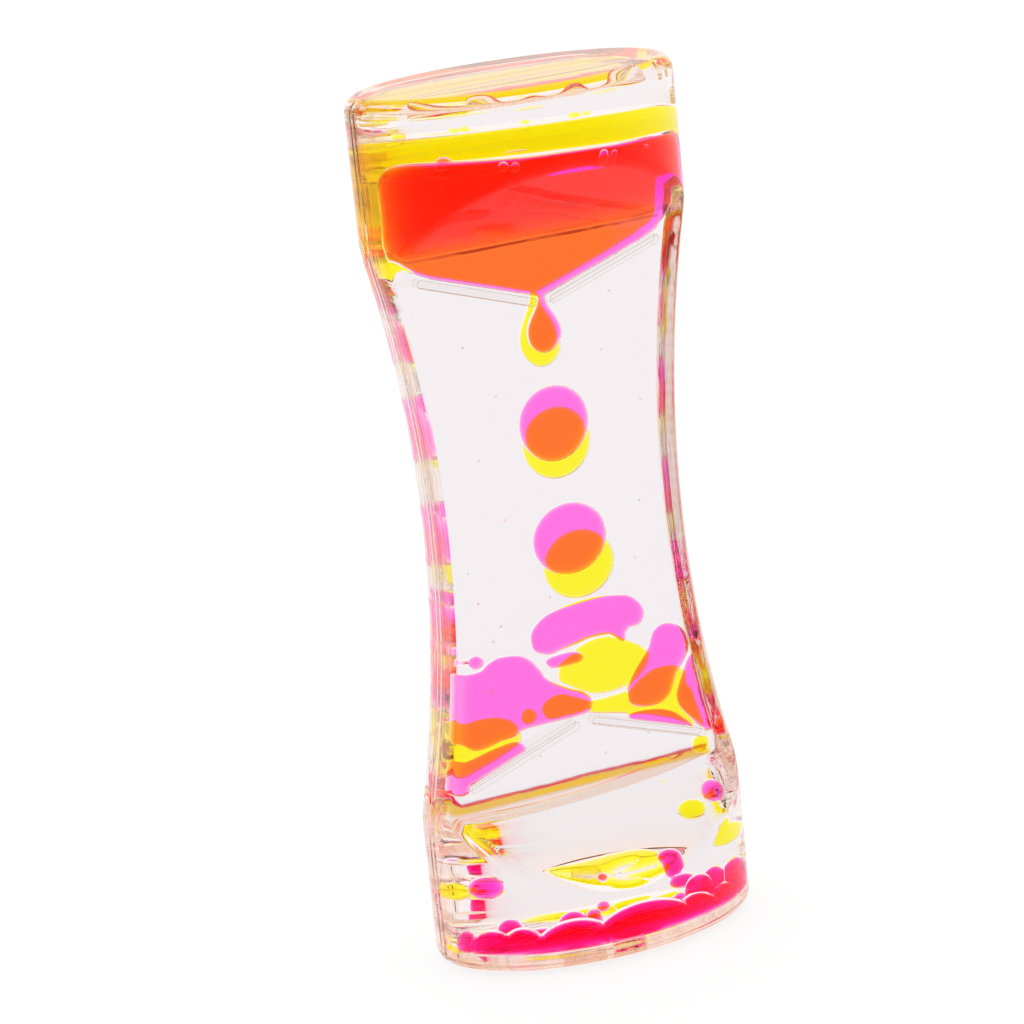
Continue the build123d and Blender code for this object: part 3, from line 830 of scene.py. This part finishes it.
# falling drops
flat_blob("pink_upper_drop_bead", oval(0.0, 81.7, 5.9, 5.9, 0, egg=0.02), -1, body="pink_upper_drop", nodes=["pink_upper_drop"], **PINK)
flat_blob("pink_lower_drop_bead", oval(0.7, 63.5, 6.3, 5.6), -1, body="pink_lower_drop", nodes=["pink_lower_drop"], **PINK)
flat_blob("yellow_upper_drop_bead", oval(1.4, 78.0, 5.8, 5.6), 1, body="yellow_upper_drop", nodes=["yellow_upper_drop"], **YELLOW)
flat_blob("yellow_lower_drop_bead", oval(3.1, 58.5, 6.1, 5.4), 1, body="yellow_lower_drop", nodes=["yellow_lower_drop"], **YELLOW)

# oil on the lower baffles, front chamber
F1 = [(-7.7, 49.1), (-7.4, 50.3), (-6.4, 51.4), (-4.7, 52.4), (-2.1, 53.0), (1.5, 53.3), (5.0, 53.4), (7.6, 53.1), (9.8, 52.5), (11.4, 51.2), (12.1, 49.6), (11.8, 48.4), (10.8, 47.6), (9.4, 47.5), (8.6, 46.9), (8.5, 46.2), (8.2, 45.6), (7.6, 45.6), (6.8, 46.4), (5.8, 47.1), (4.3, 47.3), (2.2, 47.3), (-0.1, 46.9), (-2.8, 46.5), (-4.7, 46.2), (-6.2, 46.6), (-7.4, 47.4)]
F2 = [(-5.6, 45.1), (-4.8, 45.7), (-2.8, 45.9), (-1.1, 45.9), (0.3, 45.5), (0.9, 44.7), (0.4, 44.0), (-1.0, 43.8), (-3.1, 43.8), (-4.8, 44.0)]
F3 = [(-21.2, 46.3), (-18.8, 46.1), (-16.6, 46.2), (-15.3, 47.0), (-13.4, 47.6), (-11.0, 47.4), (-9.3, 46.9), (-7.9, 45.8), (-6.7, 44.2), (-5.7, 42.6), (-4.1, 41.4), (-1.8, 40.1), (0.4, 39.1), (1.5, 37.9), (1.6, 36.8), (0.9, 35.8), (-1.4, 35.5), (-4.4, 35.5), (-7.5, 35.5), (-10.6, 35.4), (-12.2, 34.7), (-14.6, 34.5), (-16.9, 34.0), (-19.1, 34.0), (-20.3, 34.8), (-21.2, 35.9), (-22.1, 35.8), (-22.4, 37.3), (-21.8, 42.7)]
F4 = [(-24.1, 28.9), (-22.9, 27.6), (-21.2, 27.4), (-20.3, 28.3), (-17.5, 29.4), (-14.1, 30.6), (-11.1, 31.6), (-10.5, 32.6), (-11.2, 33.6), (-12.5, 34.0), (-15.5, 33.7), (-18.5, 33.1), (-20.7, 32.7), (-22.2, 32.9), (-23.5, 31.1)]
F5 = [(-18.6, 47.8), (-18.1, 48.5), (-17.2, 48.7), (-16.3, 48.2), (-16.0, 47.5), (-16.5, 46.8), (-17.5, 46.6), (-18.3, 47.0)]
F6 = [(12.9, 45.1), (12.2, 43.5), (10.7, 41.8), (9.3, 40.2), (8.1, 38.2), (7.9, 36.8), (8.1, 35.6), (9.1, 34.8), (10.8, 34.4), (12.6, 34.3), (14.2, 34.7), (15.3, 35.7), (16.0, 37.1), (16.7, 38.6), (17.9, 40.0), (19.0, 41.6), (19.3, 43.0), (18.8, 44.8), (17.8, 46.0), (16.2, 46.8), (14.8, 46.8), (13.5, 46.1)]
F7 = [(19.8, 41.0), (20.3, 39.4), (20.7, 36.4), (21.2, 33.0), (22.0, 29.6), (22.1, 28.4), (21.1, 28.1), (20.1, 28.9), (18.9, 30.3), (17.6, 31.8), (16.7, 33.1), (16.3, 34.7), (16.6, 35.9), (17.3, 37.4), (18.1, 38.9), (18.9, 40.3)]
F8 = [(7.8, 33.9), (9.9, 34.0), (13.1, 33.6), (15.4, 32.7), (17.0, 31.4), (18.5, 29.9), (19.1, 28.9), (18.4, 28.3), (17.2, 28.9), (14.5, 30.2), (11.4, 31.5), (8.5, 32.6), (7.7, 33.2)]
flat_blob("pink_long_drop_bead", spline(F1), -1, nodes=["pink_long_drop"], rim=0.9, **PINK)
flat_blob("pink_oval_drop_bead", spline(F2), -1, nodes=["pink_oval_drop"], rim=0.9, **PINK)
flat_blob("pink_left_mass_bead", spline(F3), -1, nodes=["pink_left_mass"], rim=0.9, **PINK)
flat_blob("pink_left_wedge_bead", spline(F4), -1, nodes=["pink_left_wedge"], rim=0.9, **PINK)
flat_blob("pink_small_left_drop_bead", spline(F5), -1, nodes=["pink_small_left_drop"], rim=0.9, h=0.25, **PINK)
flat_blob("pink_right_drop_bead", spline(F6), -1, nodes=["pink_right_mass"], rim=0.9, **PINK)
flat_blob("pink_right_wedge_bead", spline(F7), -1, nodes=["pink_right_wedge"], rim=0.9, **PINK)
flat_blob("pink_right_sliver_bead", spline(F8), -1, nodes=["pink_right_sliver"], rim=0.7, **PINK)

# oil on the lower baffles, rear chamber
Y1 = [(-2.4, 41.6), (-2.1, 42.8), (-0.9, 44.0), (1.2, 45.3), (3.7, 46.1), (6.5, 46.2), (8.4, 45.5), (10.8, 44.4), (12.4, 43.3), (13.4, 42.2), (13.5, 41.0), (12.7, 39.7), (11.4, 38.6), (9.7, 37.9), (7.7, 37.4), (5.6, 37.3), (3.3, 37.6), (1.3, 38.5), (-0.7, 39.7), (-2.2, 40.7)]
Y2 = [(-5.7, 37.3), (-4.8, 38.3), (-3.2, 38.8), (-1.7, 38.7), (0.5, 37.7), (2.9, 36.7), (6.2, 36.6), (9.5, 37.0), (11.6, 38.1), (13.8, 39.1), (16.3, 39.3), (18.4, 38.8), (19.5, 37.6), (19.8, 35.7), (20.6, 34.5), (21.2, 32.3), (21.9, 29.8), (22.3, 28.3), (21.2, 28.3), (19.5, 29.1), (16.8, 30.4), (13.0, 31.9), (9.5, 33.0), (6.1, 33.8), (2.9, 34.4), (0.9, 34.7), (-2.3, 34.6), (-4.7, 35.0), (-5.6, 36.2)]
Y3 = [(-21.9, 38.6), (-20.8, 38.3), (-19.6, 37.6), (-18.4, 37.8), (-16.2, 37.9), (-13.3, 37.5), (-11.0, 36.4), (-9.9, 34.7), (-9.9, 33.1), (-11.0, 32.2), (-14.2, 30.9), (-17.4, 30.0), (-20.1, 29.2), (-21.5, 29.1), (-22.5, 31.1), (-22.5, 35.1)]
Y4 = [(-9.4, 36.6), (-9.0, 37.4), (-8.3, 37.8), (-7.4, 37.5), (-6.7, 36.6), (-7.0, 35.5), (-8.0, 35.0), (-8.9, 35.3), (-9.3, 35.9)]
Y5 = [(19.6, 25.2), (19.8, 26.2), (20.6, 26.8), (21.5, 26.9), (22.4, 26.4), (22.6, 25.6), (22.4, 24.3), (21.6, 23.7), (20.6, 23.9), (19.7, 24.6)]
flat_blob("yellow_landed_drop_bead", spline(Y1), 1, nodes=["yellow_landed_drop"], rim=0.9, **YELLOW)
flat_blob("yellow_right_mass_bead", spline(Y2), 1, nodes=["yellow_right_mass"], rim=0.9, **YELLOW)
flat_blob("yellow_left_mass_bead", spline(Y3), 1, nodes=["yellow_left_mass"], rim=0.9, **YELLOW)
flat_blob("yellow_small_drop_bead", spline(Y4), 1, nodes=["yellow_small_drop"], rim=0.9, h=0.25, **YELLOW)
flat_blob("yellow_gap_drop_bead", spline(Y5), 1, body="yellow_gap_drop", nodes=["yellow_gap_drop"], rim=0.9, h=0.25, **YELLOW)

# oil above the upper baffles
POOL = np.array([(-30, 140), (-30, 116), (-24.0, 113.6), (-22.9, 111.8), (-21.9, 109.9), (-20.5, 108.3), (-17.8, 107.05), (-1.0, 101.62), (0, 101.3), (1.0, 101.62), (17.8, 107.05), (20.5, 108.3), (21.9, 109.9), (22.9, 111.8), (24.0, 113.6), (30, 116), (30, 140)], float)
PT = [(0.0, 102.2), (0.62, 100.9), (1.0, 99.8), (1.9, 98.3), (2.6, 96.8), (2.8, 95.3), (2.1, 93.9), (1.0, 93.0), (-0.3, 92.7), (-1.5, 93.1), (-2.5, 94.1), (-2.9, 95.6), (-2.7, 97.1), (-1.9, 98.6), (-1.0, 100.0), (-0.62, 100.9)]
YT = [(0.0, 102.2), (0.62, 100.9), (1.2, 99.7), (2.4, 97.9), (3.3, 95.9), (3.7, 93.8), (3.4, 92.0), (2.4, 90.7), (1.0, 90.1), (-0.4, 90.2), (-1.8, 91.1), (-2.8, 92.7), (-3.1, 94.6), (-2.5, 96.8), (-1.3, 99.2), (-0.62, 100.9)]


def pool_field(level, slope, tear, sign):
    tear = spline(tear)
    yc = sign * GAP_MID

    def field(x, y, z):
        side = HALF_T + FILM - sign * y
        end = 1.1 + 1.3 * np.clip((z - 108.0) / 8.0, 0.0, 1.0)
        if sign > 0:
            end = end + 2.4 * np.clip((x - 6.0) / 10.0, 0.0, 1.0)
        f = rmax(case(x, y, z, ROOM, CAVITY_R), side, end)
        top = z - level + slope * x + 0.011 * (y - sign * 7.4) ** 2
        f = rmax(f, top, 3.4)
        f = rmax(f, outline(POOL, x, z), 0.9)
        drip = rmax(outline(tear, x, z), np.abs(y - yc) - GAP_HALF, 0.9)
        f = smin(f, drip, 0.5)
        return rmax(f, 0.12 - strip_field(x, z), 0.15)

    return field


blob("pink_upper_pool_bead", pool_field(124.6, 0.045, PT, -1), (-24.5, -15.6, 91.8), (24.5, -0.2, 127.0), 0.5, nodes=["pink_upper_pool"], **PINK)
blob("yellow_upper_pool_bead", pool_field(127.6, 0.03, YT, 1), (-24.5, 0.2, 89.4), (24.5, 15.6, 129.4), 0.5, nodes=["yellow_upper_pool"], **YELLOW)


# oil on the floor of the lower reservoir
def ball(x, y, z, c, r):
    k = np.sqrt(((x - c[0]) / r[0]) ** 2 + ((y - c[1]) / r[1]) ** 2 + ((z - c[2]) / r[2]) ** 2)
    return (k - 1) * min(r)


# drops of pink oil pressed together on the floor, the first eight run together: centre, radii
PINK_DROPS = [
    ((-9.4, -11.0, 2.6), (6.4, 4.3, 4.4)),
    ((1.9, -11.8, 2.6), (8.5, 4.5, 4.85)),
    ((10.8, -11.0, 2.6), (4.1, 4.1, 3.7)),
    ((-8.0, -6.6, 2.6), (5.6, 3.0, 2.5)),
    ((2.4, -7.4, 2.6), (6.8, 3.2, 2.9)),
    ((16.4, -8.6, 3.0), (3.0, 3.6, 2.9)),
    ((-16.4, -8.6, 3.2), (3.1, 4.0, 3.5)),
    ((-19.8, -5.6, 3.0), (3.3, 4.0, 3.4)),
    ((12.3, -7.2, 5.6), (2.6, 2.6, 2.6)),
    ((15.3, -5.2, 5.2), (2.5, 2.7, 3.0)),
    ((19.3, -4.7, 4.4), (3.4, 3.8, 3.8)),
    ((-22.1, -2.4, 3.4), (1.7, 1.8, 2.7)),
    ((-15.2, -2.9, 4.8), (1.9, 1.9, 2.2)),
    ((-5.9, -2.9, 4.0), (2.2, 2.0, 2.3)),
    ((-3.0, -3.2, 4.4), (1.2, 1.3, 1.6)),
    ((-1.2, -2.6, 5.9), (0.95, 0.95, 0.9)),
    ((10.6, -3.0, 6.9), (2.0, 1.7, 1.2)),
    ((9.4, -5.2, 4.2), (1.5, 1.5, 1.3)),
    ((-10.8, -2.6, 3.0), (3.2, 2.0, 1.6)),
    ((3.6, -2.4, 3.0), (4.2, 1.8, 1.5)),
]


def joined(x, y, z, group):
    """Distance to drops that have run together."""
    f = ball(x, y, z, *group[0])
    for c, r in group[1:]:
        f = smin(f, ball(x, y, z, c, r), 0.12)
    return f


def pressed(k, groups, sign, gap):
    """One of a heap, flattened where it meets its neighbours."""
    others = [g for m, g in enumerate(groups) if m != k]

    def field(x, y, z):
        own = joined(x, y, z, groups[k])
        f = own
        for g in others:
            f = rmax(f, (own - joined(x, y, z, g)) / 2 + gap / 2, 0.12)
        f = rmax(f, HALF_T + FILM - sign * y, 0.3)
        return rmax(f, case(x, y, z, ROOM, CAVITY_R), 0.25)

    return field


def heap(name, drops, merged, sign, gap, h, mat, nodes):
    groups = [drops[:merged]] + [[d] for d in drops[merged:]]
    verts, faces, normals, first = [], [], [], 0
    for k, group in enumerate(groups):
        c, r = np.array([g[0] for g in group]), np.array([g[1] for g in group])
        lo = np.maximum((c - r).min(0) - 0.7, (-24.4, -16.0, 1.7))
        hi = np.minimum((c + r).max(0) + 0.7, (24.4, 16.0, 40.0))
        near = [k] + [m for m, o in enumerate(groups) if m != k and any(
            all(abs(p[i] - q[i]) < u[i] + v[i] + 0.3 for i in range(3)) for p, u in group for q, v in o)]
        v, f, n = net(pressed(0, [groups[m] for m in near], sign, gap), lo, hi, h if r.max() > 2 else 0.25)
        verts.append(v)
        faces.append(f + first)
        normals.append(n)
        first += len(v)
    o = add(name, np.concatenate(verts), np.concatenate(faces), [mat], vert_normals=np.concatenate(normals))
    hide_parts(*nodes)
    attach(o, "case")
    return o


heap("pink_lower_pool_beads", PINK_DROPS, 8, -1, 0.06, 0.34, M_PINK_DEEP, ["pink_lower_pool"])

PUDDLE = spline([(-6.9, 9.9), (-3.7, 9.7), (1.4, 9.2), (5.0, 9.3), (9.8, 8.0), (12.3, 5.2), (10.9, 3.0), (6.9, 2.4), (3.5, 3.1), (0.6, 4.2), (-2.2, 5.7), (-4.9, 7.7)])
PUDDLE_HOLE = oval(5.2, 4.2, 2.1, 0.7, 10)


def puddle(x, y, z):
    flat = smax(outline(PUDDLE, x, y), -outline(PUDDLE_HOLE, x, y), 0.3)
    f = rmax(flat, z - 4.0 + 0.02 * (y - 6.0) ** 2, 1.2)
    side = HALF_T + FILM - y
    return rmax(rmax(f, side, 0.4), case(x, y, z, ROOM, CAVITY_R), 0.3)


blob("yellow_lower_pool_bead", puddle, (-8.8, 0.2, 2.0), (13.6, 11.8, 5.0), 0.36, nodes=["yellow_lower_pool"], **YELLOW)

# loose drops
for name, c, r, look in (
    ("pink_left_loose_drop", (-19.1, -4.2, 12.9), (2.8, 2.4, 1.9), PINK),
    ("pink_right_loose_drop", (19.8, -4.5, 17.7), (2.0, 2.0, 2.0), PINK),
    ("yellow_upper_loose_drop", (18.7, 4.0, 10.5), (2.5, 1.9, 1.8), YELLOW),
    ("yellow_lower_loose_drop", (-17.2, 5.0, 10.4), (1.7, 1.5, 1.5), YELLOW),
):
    blob(name + "_bead", lambda x, y, z, c=c, r=r: ball(x, y, z, c, r), np.array(c) - np.array(r) - 0.7, np.array(c) + np.array(r) + 0.7, 0.3, body=name, nodes=[name], **look)


# ------------------------------------------------------------------ small beads and bubbles
def beads(name, items, mat, n=14):
    """Small round beads in one piece: centre and radii of each."""
    b = Builder()
    for c, r in items:
        r = np.array(r if np.ndim(r) else (r, r, r), float)
        lat = np.linspace(0, math.pi, n // 2 + 2)
        lon = np.arange(n) / n * 2 * math.pi
        rings, dirs = [], []
        for a in lat[1:-1]:
            d = np.stack([np.sin(a) * np.cos(lon), np.sin(a) * np.sin(lon), np.full(n, np.cos(a))], -1)
            rings.append(b.points(np.array(c) + d * r))
            dirs.append(unit(d / r))
        pole = b.points([np.array(c) + (0, 0, r[2]), np.array(c) - (0, 0, r[2])])
        for k in range(n):
            j = (k + 1) % n
            b.face([pole[0], rings[0][k], rings[0][j]], 0, [(0, 0, 1), tuple(dirs[0][k]), tuple(dirs[0][j])])
            b.face([pole[1], rings[-1][j], rings[-1][k]], 0, [(0, 0, -1), tuple(dirs[-1][j]), tuple(dirs[-1][k])])
            for i in range(len(rings) - 1):
                q = [(i, k), (i + 1, k), (i + 1, j), (i, j)]
                b.face([rings[u][w] for u, w in q], 0, [tuple(dirs[u][w]) for u, w in q])
    o = b.object(name, [mat])
    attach(o, "case")
    return o


FRONT, REAR = -GAP_MID, GAP_MID
beads("pink_crest_beads", [
    ((-15.6, -7.6, 124.9), (1.3, 1.2, 1.1)), ((-8.8, -12.6, 123.7), 0.8), ((-7.1, -12.8, 123.4), 0.75),
    ((7.0, -12.8, 122.9), 0.8), ((8.8, -12.5, 122.7), 0.6), ((14.8, -10.9, 122.5), 0.45),
    ((-2.6, -2.2, 124.4), (1.7, 0.8, 0.3)), ((-15.0, -2.2, 124.6), (1.2, 0.7, 0.3)),
], M_PINK)
beads("yellow_smear_beads", [
    ((-2.5, 14.8, 129.3), (4.4, 0.35, 0.35)), ((6.2, 14.3, 128.7), (2.0, 0.35, 0.28)), ((14.2, 11.0, 130.0), (1.7, 0.35, 0.4)),
    ((-12.0, 12.6, 129.4), (2.0, 0.35, 0.3)),
], M_YELLOW, n=20)
beads("yellow_crest_beads", [
    ((-13.2, 6.6, 128.0), (0.9, 0.8, 0.6)), ((-6.4, 6.9, 127.85), (0.6, 0.6, 0.5)), ((-4.9, 7.2, 127.75), (0.8, 0.7, 0.55)),
    ((2.6, 6.8, 127.5), (0.7, 0.7, 0.5)), ((8.9, 6.6, 127.35), (1.0, 0.8, 0.6)), ((10.6, 6.9, 127.3), (0.6, 0.6, 0.5)),
], M_YELLOW)
beads("pink_dot_beads", [((-9.9, FRONT, 68.5), 0.32), ((7.6, FRONT, 46.0 + 1.9), 0.2)], M_PINK, n=12)
beads("yellow_dot_beads", [((14.6, 3.6, 17.6), 0.4), ((-14.0, REAR, 41.5), 0.3)], M_YELLOW, n=12)
beads("carrier_bubbles", [
    ((-15.8, FRONT, 56.6), 0.2), ((-12.4, FRONT, 52.3), 0.22), ((-13.9, FRONT, 50.2), 0.2), ((-3.6, FRONT, 55.0), 0.18),
    ((-16.9, FRONT, 61.5), 0.15), ((11.5, FRONT, 58.2), 0.16), ((14.6, REAR, 66.3), 0.2), ((-8.0, REAR, 87.0), 0.18),
    ((9.2, FRONT, 91.5), 0.16), ((-13.2, FRONT, 78.4), 0.18), ((15.2, FRONT, 82.7), 0.2), ((12.9, REAR, 99.6), 0.16),
    ((-12.6, REAR, 95.4), 0.2), ((3.2, FRONT, 28.6), 0.2), ((-6.8, REAR, 29.8), 0.18), ((10.9, FRONT, 30.1), 0.16),
], M_BUBBLE, n=12)
beads("ceiling_bubbles", [
    ((-8.6, -8.8, 132.3), (3.4, 1.7, 0.2)), ((-2.2, -9.9, 132.3), (2.6, 1.5, 0.2)), ((3.6, -10.6, 132.3), (2.9, 1.4, 0.2)),
    ((11.6, -9.6, 132.3), (4.6, 1.8, 0.22)), ((19.4, -5.9, 131.9), 0.5), ((20.9, -5.0, 131.9), 0.4),
    ((0.4, -4.4, 132.0), (19.0, 2.7, 0.5)), ((-1.0, 7.2, 132.0), (18.5, 5.6, 0.5)),
], M_BUBBLE, n=40)

for o in (front_shell, rear_shell, plate, front_plug, rear_plug, *pieces.values()):
    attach(o, "case")


# ------------------------------------------------------------------ stage
def floor_material():
    m, t, s, _ = principled("floor_paper")
    n = noise(t, 6.0, 3.0, 0.5)
    s.inputs["Base Color"].default_value = (0.16, 0.16, 0.16, 1)
    s.inputs["Emission Color"].default_value = (1, 1, 1, 1)
    s.inputs["Emission Strength"].default_value = 0.84
    s.inputs["Specular IOR Level"].default_value = 0.1
    t.links.new(spread(t, n.outputs["Fac"], 0.75, 0.85), s.inputs["Roughness"])
    return m


me = bpy.data.meshes.new("floor")
me.from_pydata([(-4, -4, -0.0004), (4, -4, -0.0004), (4, 4, -0.0004), (-4, 4, -0.0004)], [], [(0, 1, 2, 3)])
me.materials.append(floor_material())
floor = bpy.data.objects.new("floor", me)
scene.collection.objects.link(floor)

# ------------------------------------------------------------------ light
world = bpy.data.worlds.new("studio")
scene.world = world
world.use_nodes = True
wt = world.node_tree
bg = wt.nodes["Background"]
bg.inputs["Color"].default_value = (1.0, 0.995, 0.99, 1)
bg.inputs["Strength"].default_value = 1.08


def softbox(name, place, aim, size, power, colour=(1, 1, 1)):
    d = bpy.data.lights.new(name, "AREA")
    d.shape = "RECTANGLE"
    d.size, d.size_y = size
    d.energy = power
    d.color = colour
    o = bpy.data.objects.new(name, d)
    o.location = place
    o.rotation_euler = (Vector(aim) - Vector(place)).to_track_quat("-Z", "Y").to_euler()
    scene.collection.objects.link(o)
    return o


# ------------------------------------------------------------------ camera
az, el, roll = math.radians(25.79), math.radians(13.81), math.radians(5.96)
back = Vector((-math.sin(az) * math.cos(el), -math.cos(az) * math.cos(el), math.sin(el)))
right = (-back).cross(Vector((0, 0, 1))).normalized()
upward = right.cross(-back)
aim = Vector((0, 0, MID)) + right * -6.22 + upward * 0.33
eye = (aim + back * 679.56) * MM
r2 = right * math.cos(roll) - upward * math.sin(roll)
u2 = right * math.sin(roll) + upward * math.cos(roll)
cam = bpy.data.cameras.new("photo")
cam.lens = 4443.58 * 36.0 / 1024.0
cam.sensor_width = 36.0
cam.clip_start = 0.01
eye_obj = bpy.data.objects.new("photo", cam)
m = Matrix.Identity(4)
for i, axis in enumerate((r2, u2, back)):
    for k in range(3):
        m[k][i] = axis[k]
m.translation = eye
eye_obj.matrix_world = m
scene.collection.objects.link(eye_obj)
scene.camera = eye_obj

scene.view_settings.view_transform = "Standard"
scene.cycles.max_bounces = 28
scene.cycles.transmission_bounces = 28
scene.cycles.glossy_bounces = 12
scene.cycles.transparent_max_bounces = 32
